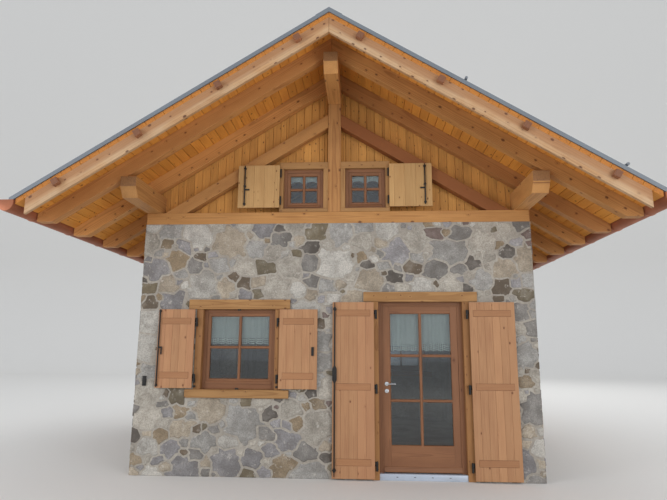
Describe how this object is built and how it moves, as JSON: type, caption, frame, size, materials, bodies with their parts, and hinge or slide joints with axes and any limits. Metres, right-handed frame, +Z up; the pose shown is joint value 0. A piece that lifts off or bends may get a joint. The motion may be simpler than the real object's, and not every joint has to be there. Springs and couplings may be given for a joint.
{
  "type": "alpine chalet",
  "caption": "Small stone house under a wide gable roof of exposed timbers, with a hinged glazed door, hinged door shutters, shuttered windows and gutters.",
  "frame": {"origin": "centre of the roof's outline in plan, on the ground", "axes": "+Z up, -Y out of the front gable with the door, +X to the right of a viewer who faces that gable"},
  "size_m": [7.706, 8.62, 5.6387],
  "materials": {
    "stone": "rubble masonry with flush pale mortar",
    "screed": "smooth screed",
    "frame_timber": "sawn larch, weathered where it is out of doors",
    "weathered_timber": "sawn larch, silvered",
    "red_timber": "sawn, stained",
    "pine_boards": "planed pine boards",
    "pine_trim": "sawn pine, oiled",
    "joinery": "planed and stained",
    "larch": "planed larch boards",
    "roof_sheet": "matt coated sheet",
    "copper": "copper sheet, dulled",
    "aluminium": "mill finish",
    "glass": "clear",
    "chrome": "polished",
    "curtain": "sheer cloth with a lace hem",
    "brass": "polished",
    "steel": "plain",
    "iron": "black painted"
  },
  "bodies": {
    "building": {"front_wall_left": "stone", "front_wall_right": "stone", "front_wall_over_door": "stone", "side_walls": "stone", "rear_wall": "stone", "ground_floor": "screed", "floor_joists": "frame_timber", "upper_floor": "pine_boards", "tie_beams": "frame_timber", "king_posts": "frame_timber", "gable_struts": "frame_timber", "gable_boards": "pine_boards", "roof_beams": "frame_timber", "rafters": "frame_timber", "barge_rafters": "weathered_timber", "barge_pegs": "red_timber", "eave_boards": "pine_boards", "roof_boards": "pine_boards", "roof_covering": "roof_sheet", "snow_guards": "roof_sheet", "gutters": "copper", "gutter_brackets": "copper", "lintels": "pine_trim", "window_sills": "pine_trim", "jamb_boards": "pine_trim", "door_frame": "joinery", "door_threshold": "aluminium", "window_frames": "joinery", "window_glass": "glass", "window_curtains": "curtain", "window_shutters": "larch", "gable_window_boards": "pine_trim", "gable_shutters": "pine_boards", "shutter_iron": "iron", "hinge_pins": "iron"},
    "door": {"door_leaf": "joinery", "door_glass": "glass", "door_handle": "chrome", "door_curtain": "curtain", "door_curtain_rod": "brass", "door_hinge_knuckles": "steel"},
    "shutter_left": {"door_shutter_left": "larch", "door_shutter_left_iron": "iron"},
    "shutter_right": {"door_shutter_right": "larch", "door_shutter_right_iron": "iron"}
  },
  "joints": [
    {"name": "door_hinge", "type": "hinge", "parent": "building", "child": "door", "pos_m": [1.6195, -2.871, 1.1], "axis": [0, 0, -1], "range_deg": [0, 90]},
    {"name": "shutter_left_hinge", "type": "hinge", "parent": "building", "child": "shutter_left", "pos_m": [0.5525, -3.044, 1.1], "axis": [0, 0, 1], "range_deg": [0, 180]},
    {"name": "shutter_right_hinge", "type": "hinge", "parent": "building", "child": "shutter_right", "pos_m": [1.7205, -3.044, 1.1], "axis": [0, 0, -1], "range_deg": [0, 180]}
  ]
}
